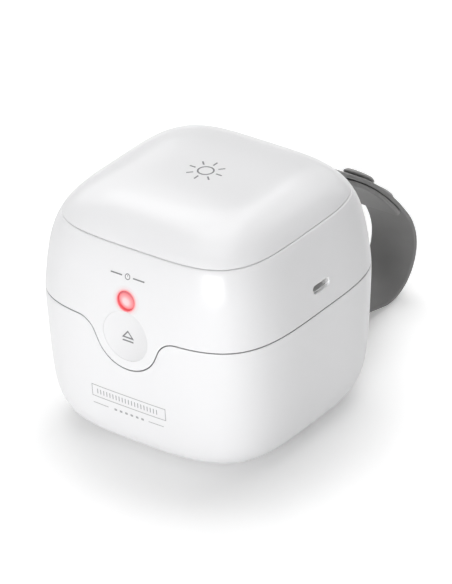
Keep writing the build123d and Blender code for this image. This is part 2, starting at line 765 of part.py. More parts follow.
def band_side(sideways):
    """Edges of one side of the band, offset sideways to the left of its direction."""
    start, route = strap_route()
    slope = math.radians(strap_slope)
    point = Vector(start.X + sideways * math.sin(slope), start.Y + sideways * math.cos(slope))
    heading = Vector(math.cos(slope), -math.sin(slope))
    edges = []
    for size, turn in route:
        if turn:
            edge = JernArc((point.X, point.Y), (heading.X, heading.Y), size + sideways, -turn)
        else:
            far = point + heading * size
            edge = Line((point.X, point.Y), (far.X, far.Y))
        edges.append(edge)
        point, heading = edge @ 1, edge % 1
    return edges


def stud_places():
    """Planes on the strap's outer face, facing outward, one for each stud."""
    start, route = strap_route()
    first = route[0][0]
    tail_arc, tail_turn = route[-1]
    last = first + tail_arc * math.radians(tail_turn) - stud_margin
    radius = upper_bend[0] + strap_thickness / 2
    slope = math.radians(strap_slope)
    foot = start + Vector(math.sin(slope), math.cos(slope)) * (strap_thickness / 2)
    places = []
    for step in range(stud_count):
        run = last - (stud_count - 1 - step) * stud_pitch
        angle = slope + (run - first) / radius
        y = foot.X + first * math.cos(slope) + radius * (math.sin(angle) - math.sin(slope))
        z = foot.Y - first * math.sin(slope) - radius * (math.cos(slope) - math.cos(angle))
        normal = (0, math.sin(angle), math.cos(angle))
        places.append(Plane(origin=(strap_x, y, z), x_dir=(1, 0, 0), z_dir=normal).location)
    return places


def stud_depth():
    """Depth of a stud's blind hole from the strap's outer face."""
    return 2 * strap_thickness + layer_gap - stud_skin


def strap():
    half = strap_thickness / 2
    outer = band_side(half)
    inner = band_side(-half)
    ends = [Line(outer[0] @ 0, inner[0] @ 0), Line(outer[-1] @ 1, inner[-1] @ 1)]
    face = Plane.YZ * make_face(outer + inner + ends)
    band = Pos(strap_x - strap_width / 2, 0, 0) * extrude(face, strap_width, dir=(1, 0, 0))
    deep = stud_depth()
    hole = Pos(0, 0, (layer_gap - deep) / 2) * Cylinder(stud_stem + seat_gap, deep + layer_gap)
    for place in stud_places():
        band -= place * hole
    return band


def strap_studs():
    """Mushroom studs that hold the two layers together, each with its stem in a blind hole."""
    head_radius, head_height = stud_head
    under = stud_depth() - seat_gap
    head = Pos(0, 0, stud_lift + head_height / 2) * Cylinder(head_radius, head_height)
    head = fillet(head.edges(), stud_rounding)
    high = stud_lift + head_height / 2
    stem = Pos(0, 0, (high - under) / 2) * Cylinder(stud_stem, high + under)
    return [place * (head + stem) for place in stud_places()]


# ---- write one STEP per piece -------------------------------------------------------------------
PIECES = [
    base_shell, chamber_liner, foot_pad, base_screws, latch_keeper, safety_magnet, hinge_pins,
    lid_shell, top_cover, lid_pan, uv_window, uv_board, uv_leds, lid_seal, lid_screws, main_board,
    board_screws, battery, battery_tape, usb_board, usb_socket, button_board, tact_switch,
    indicator_leds, hall_sensor, strap_bar, latch_spring, open_button, latch_slider, start_button,
    switch_plunger, strap, strap_studs,
]


def main():
    os.makedirs("parts", exist_ok=True)
    for piece in PIECES:
        made = piece()
        if isinstance(made, list):
            made = Compound(children=made)
        export_step(made, f"parts/{piece.__name__}.step")


main()
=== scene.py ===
"""Looks of a small UV-C sanitizer box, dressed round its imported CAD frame.

Lengths are millimetres, but metres for the camera, floor and lamps. X is to the right, -Y is the front
and +Z is up, as in the frame.
"""
import json
import math
import bpy
import numpy as np
from mathutils import Matrix, Vector


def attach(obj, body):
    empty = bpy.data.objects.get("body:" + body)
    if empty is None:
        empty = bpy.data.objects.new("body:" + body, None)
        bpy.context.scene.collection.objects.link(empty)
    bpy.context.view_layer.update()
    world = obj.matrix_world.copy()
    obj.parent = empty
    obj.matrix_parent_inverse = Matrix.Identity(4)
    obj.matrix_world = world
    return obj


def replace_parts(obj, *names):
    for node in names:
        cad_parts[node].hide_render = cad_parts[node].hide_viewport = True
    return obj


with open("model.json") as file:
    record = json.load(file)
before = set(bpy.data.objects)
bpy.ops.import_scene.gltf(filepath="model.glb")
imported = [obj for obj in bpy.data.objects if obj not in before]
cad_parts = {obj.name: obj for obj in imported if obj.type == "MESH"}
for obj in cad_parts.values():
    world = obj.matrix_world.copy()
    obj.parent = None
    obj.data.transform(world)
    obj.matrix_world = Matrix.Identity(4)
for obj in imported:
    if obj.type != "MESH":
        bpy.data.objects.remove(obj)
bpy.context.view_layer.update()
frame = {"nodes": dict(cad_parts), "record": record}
MM = 0.001

# ---- the body's form, as in the CAD model ----
body_half = 40.0
seam_z = 43.4
lid_rise = 32.9
cover_z = 67.0
lid_roundness, base_roundness = 4.22, 6.97
lid_taper, base_taper, taper_blend = 0.00277, 0.00087, 3.0
plan_roundness, plan_squaring = 3.86, 0.0065
foot_gap = 0.4
wall, cover_wall, seam_gap = 2.0, 2.6, 0.2
open_z, open_radius, open_cap = 41.3, 7.8, 1.6
tongue_margin, tongue_flank, shoulder_radius = 3.0, 66.0, 6.6
start_z, start_radius, button_gap = 52.4, 2.9, 0.15
pocket_depth, pocket_wall, pocket_drop = 3.5, 1.4, 0.4
pad_half, pad_corner, pad_recess = 23.0, 8.0, 0.5
hinge_y, hinge_offset = 42.58, 2.8
knuckle_radius, pin_radius = 2.6, 1.0
knuckle_start, knuckle_length, lid_knuckle, knuckle_gap = 13.4, 2.4, 3.3, 0.25
running_gap = 0.05
bar_y, bar_z, bar_radius = 44.0, 55.0, 1.5
ear_wall, ear_radius = 2.0, 2.4
usb_y, usb_z, usb_slot = 0.5, 51.0, (8.0, 2.95)

# ---- strap, as in the CAD model ----
strap_width, strap_thickness, strap_x = 16.0, 1.4, 4.0
strap_side_gap, wrap_gap, layer_gap = 0.4, 0.2, 0.25
strap_slope = 32.3
upper_bend, outer_bend, lower_bend, wall_bend = (101.0, 21.0), (22.5, 21.0), 13.9, 5.0
bottom_rise = 12.0  # degrees above level, where the loop turns back towards the box
strap_floor_gap, tail_short = 1.0, 3.44
stud_margin, stud_pitch, stud_skin = 3.5, 14.6, 0.4

# ---- roundings, for the look alone ----
edge_round, web_round = 0.3, 0.2  # of the mouldings' edges and of the hinge webs


def half_at(z, inset=0.0):
    """Half width of the form at height z, shrunk by inset."""
    d = z - seam_z
    rise = np.where(d > 0, lid_rise, seam_z)
    power = np.where(d > 0, lid_roundness, base_roundness)
    share = np.minimum(np.abs(d) / (rise - inset), 1.0)
    bulge = (1 - share**power) ** (1 / power)
    lean = (lid_taper - base_taper) / 2 * d + (lid_taper + base_taper) / 2 * np.hypot(d, taper_blend)
    return (body_half - inset) * bulge * (1 - lean)


def plan_power(z):
    """Exponent of the plan outline at height z."""
    return plan_roundness + plan_squaring * (z - seam_z)


def on_form(angle, z, inset=0.0):
    """Points of the form at these angles and heights."""
    angle, z, inset = np.broadcast_arrays(*(np.asarray(v, float) for v in (angle, z, inset)))
    c, s, power = np.cos(angle), np.sin(angle), plan_power(z)
    radius = half_at(z, inset) / (np.abs(c) ** power + np.abs(s) ** power) ** (1 / power)
    return np.stack([radius * c, radius * s, z], -1)


def front_y(x, z, inset=0.0):
    """Y of the form's front face above (x, z)."""
    power = plan_power(z)
    return -((half_at(z, inset) ** power - np.abs(x) ** power) ** (1 / power))


# ---- mesh helpers ----
def new_object(name, data):
    """Object with this data, put in the scene."""
    obj = bpy.data.objects.new(name, data)
    bpy.context.scene.collection.objects.link(obj)
    return obj


def piece(name, points, faces, sharp=40.0):
    """Mesh object from points in mm, smooth shaded up to the sharp angle in degrees."""
    mesh = bpy.data.meshes.new(name)
    mesh.from_pydata((np.asarray(points, float) * MM).tolist(), [], faces)
    mesh.update()
    obj = new_object(name, mesh)
    smooth(obj, sharp)
    return obj


def smooth(obj, sharp=40.0):
    """Smooth shading but for edges above the sharp angle in degrees."""
    obj.data.polygons.foreach_set("use_smooth", [True] * len(obj.data.polygons))
    obj.data.set_sharp_from_angle(angle=math.radians(sharp))


def apply(obj, kind, **settings):
    """Adds a modifier and bakes it into the mesh."""
    modifier = obj.modifiers.new(kind, kind)
    for key, value in settings.items():
        setattr(modifier, key, value)
    bpy.context.view_layer.update()
    made = bpy.data.meshes.new_from_object(obj.evaluated_get(bpy.context.evaluated_depsgraph_get()))
    obj.modifiers.clear()
    obj.data = made


def rows_to_faces(rows, columns, close_rows):
    """Quads of a grid of points, closed across its columns."""
    faces = []
    for row in range(rows if close_rows else rows - 1):
        below, above = row * columns, (row + 1) % rows * columns
        for column in range(columns):
            beside = (column + 1) % columns
            faces.append((below + column, below + beside, above + beside, above + column))
    return faces


def ring_mesh(name, rows, close_rows=False, poles=(None, None), sharp=40.0):
    """Closed mesh from rows of points, with an optional point closing the first and last row."""
    count, columns = len(rows), len(rows[0])
    points = np.concatenate([np.asarray(row) for row in rows])
    faces = rows_to_faces(count, columns, close_rows)
    for pole, row in zip(poles, (0, count - 1)):
        if pole is not None:
            points = np.concatenate([points, [pole]])
            start = row * columns
            for column in range(columns):
                face = (start + column, start + (column + 1) % columns, len(points) - 1)
                faces.append(face[::-1] if row == 0 else face)
    return piece(name, points, faces, sharp)


def join(target, *others):
    """Adds the other objects' meshes to the target's."""
    with bpy.context.temp_override(active_object=target, selected_editable_objects=[target, *others]):
        bpy.ops.object.join()
    return target


def cut(target, cutter):
    """Takes the cutter out of the target, and removes the cutter."""
    apply(target, "BOOLEAN", object=cutter, operation="DIFFERENCE", solver="EXACT")
    bpy.data.objects.remove(cutter)
    return target


def full_turn(count):
    """Evenly spaced angles of a whole turn."""
    return np.arange(count) * 2 * math.pi / count


def lathe(name, profile, segments=64, hollow=False):
    """Turned piece about local Z from (radius, height) pairs. A hollow one's profile closes on itself."""
    turn = full_turn(segments)
    rows = [np.stack([r * np.cos(turn), r * np.sin(turn), np.full(segments, h)], -1) for r, h in profile]
    poles = (None, None) if hollow else ((0, 0, profile[0][1]), (0, 0, profile[-1][1]))
    return ring_mesh(name, rows, close_rows=hollow, poles=poles, sharp=50.0)


def place(obj, matrix):
    """Moves a piece's points, leaving the object itself at the origin."""
    obj.data.transform(Matrix.Translation(Vector(matrix.translation) * MM) @ matrix.to_3x3().to_4x4())
    return obj


def rounded_profile(corners, radius):
    """(radius, height) corners of a lathe profile with each corner but the first and last rounded."""
    made, steps = [corners[0]], 4
    for before, corner, after in zip(corners, corners[1:], corners[2:]):
        a, b, c = (np.array(p, float) for p in (before, corner, after))
        into, out = (a - b) / np.linalg.norm(a - b), (c - b) / np.linalg.norm(c - b)
        for step in range(steps + 1):
            t = step / steps
            made.append(tuple(b + into * radius * (1 - t) ** 2 + out * radius * t**2))
    return made + [corners[-1]]


TO_X = Matrix.Rotation(math.radians(90), 4, "Y")  # local Z becomes +X
TO_FRONT = Matrix.Rotation(math.radians(90), 4, "X")  # local Z becomes -Y
TO_SIDE = Matrix(((0, 0, 1, 0), (1, 0, 0, 0), (0, 1, 0, 0), (0, 0, 0, 1)))  # local X, Y, Z become Y, Z, X


def at(x, y, z, turn):
    """Matrix that turns a piece, then moves it to a place in mm."""
    return Matrix.Translation((x, y, z)) @ turn


def prism(name, outline, low, high, turn):
    """Straight prism on an outline, from low to high along local Z, then turned."""
    count = len(outline)
    points = [(*p, low) for p in outline] + [(*p, high) for p in outline]
    faces = [tuple(range(count))[::-1], tuple(range(count, 2 * count))]
    faces += [(i, (i + 1) % count, count + (i + 1) % count, count + i) for i in range(count)]
    return place(piece(name, points, faces, 30.0), turn)


def box_piece(name, low, high, rounding):
    """Block between two corners, with its edges rounded."""
    (x0, y0, z0), (x1, y1, z1) = low, high
    obj = prism(name, [(x0, y0), (x1, y0), (x1, y1), (x0, y1)], z0, z1, Matrix.Identity(4))
    apply(obj, "BEVEL", width=rounding * MM, segments=4, limit_method="ANGLE")
    smooth(obj)
    return obj


# ---- the seam's outline on the front ----
front_reach = 20.0  # half width of the front stretch whose columns follow the tongue
curve_step = 0.45
plain_columns = 220
rim_rows = 5


def tongue_curve(grow):
    """Evenly spaced (x, z) points of the tongue's outline grown by a gap, from left to right, and its
    outward normals."""
    flank = math.radians(tongue_flank)
    radius = open_radius + tongue_margin + grow
    shoulder = shoulder_radius - grow
    top = seam_z + seam_gap / 2 - grow
    start = np.array([radius * math.sin(flank), open_z - radius * math.cos(flank)])
    along = np.array([math.cos(flank), math.sin(flank)])
    tangent = shoulder * math.tan(flank / 2)
    corner = start + along * (top - start[1]) / along[1]
    low, high = corner - along * tangent, corner + np.array([tangent, 0])
    centre = high - np.array([0, shoulder])
    fine = 0.02  # step of the first pass, in mm on the arcs and as a share of the flank's straight
    bottom = [(radius * math.sin(a), open_z - radius * math.cos(a))
              for a in np.arange(0, flank, fine / radius)]
    rise = [tuple(start + (low - start) * t) for t in np.arange(0, 1, fine)]
    turn = [(centre[0] + shoulder * math.cos(a), centre[1] + shoulder * math.sin(a))
            for a in np.arange(math.pi / 2 + flank, math.pi / 2, -fine / shoulder)]
    level = [tuple(high + (np.array([front_reach, top]) - high) * t) for t in np.linspace(0, 1, 50)]
    right = np.array(bottom + rise + turn + level)
    whole = np.concatenate([(right * [-1, 1])[:0:-1], right])
    run = np.concatenate([[0], np.cumsum(np.linalg.norm(np.diff(whole, axis=0), axis=1))])
    count = 2 * round(run[-1] / curve_step / 2)
    spots = np.linspace(0, run[-1], count + 1)
    points = np.stack([np.interp(spots, run, whole[:, 0]), np.interp(spots, run, whole[:, 1])], -1)
    heading = np.gradient(points, axis=0)
    heading /= np.linalg.norm(heading, axis=1)[:, None]
    return points, np.stack([heading[:, 1], -heading[:, 0]], -1)


def columns(grow):
    """Angle, seam place (x, z) and seam normal (x, z) of each column round the body. Off the front stretch
    x is nan, and the normal points straight down."""
    curve, normal = tongue_curve(grow)
    angle = np.arctan2(front_y(curve[:, 0], curve[:, 1]), curve[:, 0])
    rest = np.linspace(angle[-1], angle[0] + 2 * math.pi, plain_columns + 2)[1:-1]
    level = curve[0, 1]
    x = np.concatenate([curve[:, 0], np.full(plain_columns, np.nan)])
    z = np.concatenate([curve[:, 1], np.full(plain_columns, level)])
    nx = np.concatenate([normal[:, 0], np.zeros(plain_columns)])
    nz = np.concatenate([normal[:, 1], np.full(plain_columns, -1.0)])
    return np.concatenate([angle, rest]), x, z, nx, nz


def seam_row(cols, step, inset):
    """Row of points moved from the seam into the base's side by step, at an inset below the surface."""
    angle, x, z, nx, nz = cols
    height = z + nz * step
    points = on_form(angle, height, inset)
    front = ~np.isnan(x)
    moved = x[front] + nx[front] * step
    points[front, 0] = moved
    points[front, 1] = front_y(moved, height[front], inset)
    return points


def even_angles(cols):
    """The columns' angles, evenly spread over the front stretch."""
    angle = cols[0].copy()
    front = ~np.isnan(cols[1])
    angle[front] = np.linspace(angle[0], angle[front][-1], front.sum())
    return angle


def between(cols, level, side, inset, shares):
    """Rows from the seam (share 0) to a level height (share 1), on the base's side of it (side 1) or on the
    lid's (side -1)."""
    edge = seam_row(cols, side * edge_round, inset)
    angle = np.unwrap(np.arctan2(edge[:, 1], edge[:, 0]))
    target = np.unwrap(even_angles(cols))
    angle += 2 * math.pi * np.round((target - angle) / (2 * math.pi))
    return [on_form(angle + (target - angle) * share, edge[:, 2] + (level - edge[:, 2]) * share, inset)
            for share in shares]


def rim_steps(thickness):
    """(step, inset) pairs over a wall's rounded rim, from its outside round to its inside."""
    turns = np.linspace(0, math.pi / 2, rim_rows)
    outer = [(edge_round * (1 - math.sin(t)), edge_round * (1 - math.cos(t))) for t in turns]
    inner = [(edge_round * (1 - math.cos(t)), edge_round * (1 - math.sin(t))) for t in turns]
    return outer + [(step, thickness - inset) for step, inset in inner]


def seam_edge(cols, side):
    """Rows over the seam's rim, on the base's side of it (side 1) or on the lid's (side -1)."""
    return [seam_row(cols, side * step, inset) for step, inset in rim_steps(wall)]


def level_rim(angle, z, side, thickness):
    """Rows over a level rim at height z, of a wall above it (side 1) or below it (side -1)."""
    return [on_form(angle, z + side * step, inset) for step, inset in rim_steps(thickness)]


# ---- hinge knuckles, ears and other joined features ----
def knuckle(name, start, length, hole):
    """Hollow cylinder on the hinge's axis."""
    profile = [(hole, 0), (knuckle_radius, 0), (knuckle_radius, length), (hole, length)]
    turned = lathe(name, rounded_profile(profile, edge_round), hollow=True)
    return place(turned, at(start, hinge_y, seam_z, TO_X))


def hinge_half(name, start, length, hole, up):
    """Knuckle with the web that joins it to the back wall, below or above the seam."""
    gap = seam_gap / 2
    low, high = (seam_z + gap, seam_z + knuckle_radius) if up else (seam_z - knuckle_radius, seam_z - gap)
    web = box_piece(name + "_web", (start, hinge_y - hinge_offset - wall / 2, low),
                    (start + length, hinge_y - hole - edge_round, high), web_round)
    return [knuckle(name, start, length, hole), web]


def base_floor(inset):
    """Height at which the base's skin at this inset ends."""
    return seam_z - (seam_z - foot_gap) / seam_z * (seam_z - inset)


def base_shell():
    """Base moulding with the recess under it, its hinge knuckles and the pocket for the lid's tongue."""
    cols = columns(seam_gap)
    angle = even_angles(cols)
    low_level, crowding = 27.0, 2.6  # below this height the rows are level, and crowd to the floor
    shares = np.array([0.02, 0.05, 0.1, 0.17, 0.25, 0.35, 0.45, 0.55, 0.65, 0.75, 0.85, 0.93, 1.0])

    def down(inset):
        rows = between(cols, low_level, 1, inset, shares)
        for t in np.linspace(0.0, 1.0, 30)[1:]:
            z = low_level + (base_floor(inset) - low_level) * (1 - (1 - t) ** crowding)
            rows.append(on_form(angle, z, inset))
        return rows

    recess, roof = rounded_square(angle, pad_half, pad_corner), foot_gap + pad_recess
    under = [np.c_[recess, np.full(len(angle), z)] for z in (roof, foot_gap)]
    rows = under + down(0.0)[::-1] + seam_edge(cols, 1) + down(wall)
    shell = ring_mesh("base_shell_skin", rows, poles=((0, 0, roof), (0, 0, base_floor(wall))))
    features = []
    for side in (-1, 1):
        for start in (knuckle_start, knuckle_start + knuckle_length + 2 * knuckle_gap + lid_knuckle):
            left = start if side > 0 else -start - knuckle_length
            features += hinge_half("base_knuckle", left, knuckle_length, pin_radius, up=False)
    return join(shell, *features, *pocket())


def rounded_square(angle, half, corner):
    """Points of a rounded square at these angles about its middle."""
    c, s = np.abs(np.cos(angle)), np.abs(np.sin(angle))
    long, short = np.maximum(c, s), np.minimum(c, s)
    radius = half / long
    inner = half - corner
    over = radius * short > inner
    b = inner * (long + short)
    bent = b + np.sqrt(np.maximum(b**2 - 2 * inner**2 + corner**2, 0))
    radius = np.where(over, bent, radius)
    return np.stack([radius * np.cos(angle), radius * np.sin(angle)], -1)


def pocket():
    """Walls and back of the recess behind the lid's tongue."""
    inner, outer = tongue_curve(seam_gap)[0], tongue_curve(seam_gap + pocket_wall)[0]
    top = seam_z - seam_gap / 2 - pocket_drop
    inner, outer = ([p for p in curve if p[1] < top] for curve in (inner, outer))
    band = [tuple(p) for p in outer] + [tuple(p) for p in inner[::-1]]
    into_wall = 0.3  # how far the pocket's front end lies inside the base's wall
    front = -body_half + wall - into_wall
    back = -half_at(open_z, pocket_depth + pocket_wall)
    return [prism("pocket_band", band, -back, -front, TO_FRONT),
            prism("pocket_back", [tuple(p) for p in outer], -back, -back + pocket_wall, TO_FRONT)]


def slot_outline(width, height):
    """Outline of a slot with round ends about its middle."""
    turn = np.linspace(-math.pi / 2, math.pi / 2, 17)
    side = [(width / 2 - height / 2 + height / 2 * math.cos(a), height / 2 * math.sin(a)) for a in turn]
    return side + [(-a, -b) for a, b in side]


def lid_shell():
    """Lid moulding with its button holes, socket slot, hinge knuckles and strap ears."""
    cols = columns(0.0)
    angle = even_angles(cols)
    level = 56.0  # above this height the rows are level
    shares = np.array([0.02, 0.05, 0.1, 0.17, 0.25, 0.34, 0.43, 0.52, 0.61, 0.7, 0.79, 0.87, 0.94, 1.0])
    top = cover_z - seam_gap / 2

    def up(inset):
        rows = between(cols, level, -1, inset, shares)
        return rows + [on_form(angle, z, inset) for z in np.linspace(level, top - edge_round, 12)[1:]]

    rows = up(0.0) + level_rim(angle, top, -1, wall) + up(wall)[::-1] + seam_edge(cols, -1)[::-1]
    shell = ring_mesh("lid_shell_skin", rows, close_rows=True)
    for z, radius in ((open_z, open_radius), (start_z, start_radius)):
        hole = lathe("hole", [(radius, 0), (radius, body_half)], segments=96)
        cut(shell, place(hole, at(0, -body_half / 2, z, TO_FRONT)))
    slot = prism("slot", slot_outline(*usb_slot), 0, body_half, at(body_half / 2, usb_y, usb_z, TO_SIDE))
    smooth(cut(shell, slot))
    features = []
    start = knuckle_start + knuckle_length + knuckle_gap
    for left in (start, -start - lid_knuckle):
        features += hinge_half("lid_knuckle", left, lid_knuckle, pin_radius + running_gap, up=True)
    half = strap_width / 2 + strap_side_gap
    features += [strap_ear(strap_x - half - ear_wall), strap_ear(strap_x + half)]
    return join(shell, *features)


def strap_ear(x):
    """Plate beside the strap that carries the bar."""
    root = half_at(bar_z) - wall / 2
    nose = [(bar_y + ear_radius * math.cos(a), bar_z + ear_radius * math.sin(a))
            for a in np.linspace(-math.pi / 2, math.pi / 2, 25)]
    outline = [(root, bar_z - ear_radius), *nose, (root, bar_z + ear_radius)]
    ear = prism("strap_ear", outline, x, x + ear_wall, TO_SIDE)
    apply(ear, "BEVEL", width=edge_round * MM, segments=4, limit_method="ANGLE", angle_limit=math.radians(50))
    hole = lathe("hole", [(bar_radius, 0), (bar_radius, 3 * ear_wall)], segments=48)
    cut(ear, place(hole, at(x - ear_wall, bar_y, bar_z, TO_X)))
    smooth(ear)
    return ear


def top_cover():
    """Crowned cover on the lid shell."""
    low = cover_z + seam_gap / 2
    angle = full_turn(320)
    shares = [0.97, 0.94, 0.9, 0.85, 0.79, 0.72, 0.64, 0.55, 0.46, 0.37, 0.28, 0.2, 0.12, 0.05]

    def over(inset):
        rise, power = lid_rise - inset, lid_roundness
        edge = low + edge_round
        start = (1 - ((edge - seam_z) / rise) ** power) ** (1 / power)
        heights = [seam_z + rise * (1 - (start * share) ** power) ** (1 / power) for share in shares]
        steep = np.linspace(edge, heights[0], 7)[:-1]
        return [on_form(angle, z, inset) for z in [*steep, *heights]]

    rows = over(cover_wall)[::-1] + level_rim(angle, low, 1, cover_wall)[::-1] + over(0.0)
    crown = seam_z + lid_rise
    return ring_mesh("top_cover_skin", rows, poles=((0, 0, crown - cover_wall), (0, 0, crown)))


# ---- buttons ----
dish_radius, dish_depth, dish_power = 7.66, 1.25, 2.3  # finger dish, deeper than the solid's
face_gap, face_reach = 0.03, 0.6  # gap round the latch button's face, and the depth where it is button_gap
face_round, face_shy = 0.08, 0.02  # rounding of that face, and its depth below the lid's surface
start_gap = 0.08  # gap round the start button


def open_depth(radius):
    """Depth of the finger dish in the latch button at a distance from its middle."""
    share = np.clip(radius / dish_radius, 0, 1)
    return dish_depth * (1 - share**dish_power)


def open_button():
    """Dished cap of the latch button, with the stem behind it."""
    edge, skirt = open_radius - face_gap, open_radius - button_gap
    stem_half, stem_low, stem_high, stem_round = 4.0, 43.9, 48.0, 0.2
    stem_front, stem_back = 0.3, 1.3  # how far it reaches before and behind the cap's back
    turn = full_turn(96)
    back = -half_at(open_z) + open_cap

    def ring(radius, depth, shy=face_shy):
        x, z = radius * np.cos(turn), open_z + radius * np.sin(turn)
        return np.stack([x, front_y(x, z) + depth + shy, z], -1)

    rim = [(edge - face_round * (1 - math.cos(a)), face_round * (1 - math.sin(a)))
           for a in np.linspace(0, math.pi / 2, 4)]
    dish = [(r, open_depth(r)) for r in np.linspace(edge - face_round, 0.3, 30)[1:]]
    rear = [np.stack([skirt * np.cos(turn), np.full(len(turn), back), open_z + skirt * np.sin(turn)], -1)]
    rows = rear + [ring(skirt, face_reach, 0.0)] + [ring(r, depth) for r, depth in rim + dish]
    middle = front_y(0.0, open_z) + open_depth(0.0) + face_shy
    cap = ring_mesh("open_button_cap", rows, poles=((0, back, open_z), (0, middle, open_z)))
    stem = box_piece("open_button_stem", (-stem_half, back - stem_front, stem_low),
                     (stem_half, back + stem_back, stem_high), stem_round)
    return join(cap, stem)


def start_button():
    """Domed cap of the start button, with the flange and the stem behind it."""
    edge = start_radius - start_gap
    dome, recess = 0.43, 0.45  # the crown's rise and its edge's depth, as on the solid
    shoulder, rim = 0.15, 0.2  # rounding of the crown's edge
    stem, flange = 1.2, 3.5  # radii
    flange_front, flange_back, stem_end = 2.71, 3.31, 3.71  # behind the face, as on the solid
    profile = [(stem, -stem_end), (stem, -flange_back), (flange, -flange_back), (flange, -flange_front),
               (edge, -flange_front), (edge, -recess - shoulder)]
    profile += [(edge - rim * (1 - math.cos(a)), -recess - shoulder + rim * math.sin(a))
                for a in np.linspace(0.3, 1.2, 4)]
    profile += [(r, dome * (1 - (r / edge) ** 2) - recess) for r in np.linspace(edge - 0.3, 0.2, 9)]
    return place(lathe("start_button_cap", profile), at(0, -half_at(start_z), start_z, TO_FRONT))


# ---- strap ----
def strap_route():
    """Start, heading and legs of the strap's centre line, and the length of its first straight. A leg is a
    straight (length, 0) or an arc (radius, turn in degrees)."""
    half = strap_thickness / 2
    wrap = bar_radius + wrap_gap + half
    layer = strap_thickness + layer_gap
    slope = math.radians(strap_slope)
    start = np.array([bar_y + (wrap + layer) * math.sin(slope), bar_z + (wrap + layer) * math.cos(slope)])
    rise = math.radians(bottom_rise)
    last_turn = 180 + bottom_rise - strap_slope - upper_bend[1] - outer_bend[1]
    arcs = [upper_bend, outer_bend, (lower_bend, last_turn)]
    heading, drop, out = slope, 0.0, 0.0
    for radius, turn in arcs:
        after = heading + math.radians(turn)
        drop += radius * (math.cos(heading) - math.cos(after))
        out += radius * (math.sin(after) - math.sin(heading))
        heading = after
    low = strap_floor_gap + half + lower_bend * (1 - math.cos(rise))
    first = (start[1] - low - drop) / math.sin(slope)
    back = start[0] + first * math.cos(slope) + out - wall_bend * (1 - math.sin(rise))
    along = (back - bar_y + wrap) / math.cos(rise)
    up = bar_z - low - along * math.sin(rise) - wall_bend * math.cos(rise)
    tail_arc = upper_bend[0] - layer
    route = [(first, 0), *arcs, (along, 0), (wall_bend, 90 - bottom_rise), (up, 0), (wrap, 90 + strap_slope)]
    route += [(first, 0), (tail_arc, upper_bend[1] - math.degrees(tail_short / tail_arc))]
    return start, slope, route, first


def along_leg(size, turn, heading, share=1.0):
    """Way along a share of a leg, and the heading at its end."""
    if not turn:
        return size * share * np.array([math.cos(heading), -math.sin(heading)]), heading
    after = heading + math.radians(turn) * share
    way = size * np.array([math.sin(after) - math.sin(heading), math.cos(after) - math.cos(heading)])
    return way, after


def strap_line():
    """Points along the strap's centre line as (y, z), and the unit normals on their left."""
    point, heading, route = strap_route()[:3]
    step_length, step_turn = 2.0, 4  # mm on the straights, degrees on the arcs
    points, normals = [], []
    for size, turn in route:
        steps = max(2, round(turn / step_turn)) if turn else max(2, round(size / step_length))
        for step in range(steps):
            way, after = along_leg(size, turn, heading, step / steps)
            points.append(point + way)
            normals.append((math.sin(after), math.cos(after)))
        way, heading = along_leg(size, turn, heading)
        point = point + way
    points.append(point)
    normals.append((math.sin(heading), math.cos(heading)))
    return np.array(points), np.array(normals)


def strap():
    """Band with rounded edges, whose two free ends have rounded corners."""
    points, normals = strap_line()
    run = np.concatenate([[0], np.cumsum(np.linalg.norm(np.diff(points, axis=0), axis=1))])
    corner, edge = 2.2, 0.55  # rounding of the ends' corners and of the band's edges
    end_share = 0.35  # what is left of the thickness at the very ends
    near = [0.0, 0.05, 0.15, 0.35, 0.7, 1.2, 1.7]
    inner = run[(run > corner) & (run < run[-1] - corner)]
    spots = np.array(sorted({*near, *(run[-1] - d for d in near), *inner}))
    line = np.stack([np.interp(spots, run, points[:, i]) for i in (0, 1)], -1)
    normal = np.stack([np.interp(spots, run, normals[:, i]) for i in (0, 1)], -1)
    normal /= np.linalg.norm(normal, axis=1)[:, None]
    half, thick = strap_width / 2, strap_thickness / 2
    turns = np.linspace(0, math.pi / 2, 5)
    quarter = [(half - edge + edge * math.cos(t), thick - edge + edge * math.sin(t)) for t in turns]
    flat = [(half * s, thick) for s in (0.75, 0.5, 0.25, 0.0, -0.25, -0.5, -0.75)]
    top = quarter + flat + [(-x, y) for x, y in quarter[::-1]]
    section = top + [(x, -y) for x, y in top[::-1]]
    rows = []
    for spot, (y, z), (ny, nz) in zip(spots, line, normal):
        end = min(spot, run[-1] - spot)
        short = corner - math.sqrt(corner**2 - (corner - end) ** 2) if end < corner else 0.0
        thin = 1.0
        if end <= edge:
            thin = end_share + (1 - end_share) * math.sqrt(1 - (1 - end / edge) ** 2)
        squeeze = (half - short) / half
        rows.append([(strap_x + x * squeeze, y + ny * h * thin, z + nz * h * thin) for x, h in section])
    ends = [np.mean(rows[i], axis=0) for i in (0, -1)]
    return ring_mesh("strap_band", rows, poles=ends, sharp=50.0)


def stud_places():
    """Frames on the strap's outer face, local Z outward, one for each stud."""
    start, slope, _, first = strap_route()
    radius = upper_bend[0] + strap_thickness / 2
    foot = start + np.array([math.sin(slope), math.cos(slope)]) * strap_thickness / 2
    tail_bend = (upper_bend[0] - strap_thickness - layer_gap) * math.radians(upper_bend[1])
    last = first + tail_bend - tail_short - stud_margin
    places = []
    for distance in (last - stud_pitch, last):
        angle = slope + (distance - first) / radius
        y = foot[0] + first * math.cos(slope) + radius * (math.sin(angle) - math.sin(slope))
        z = foot[1] - first * math.sin(slope) - radius * (math.cos(slope) - math.cos(angle))
        out = Vector((0, math.sin(angle), math.cos(angle)))
        right = Vector((1, 0, 0))
        turn = Matrix((right, out.cross(right), out)).transposed().to_4x4()
        places.append(at(strap_x, y, z, turn))
    return places


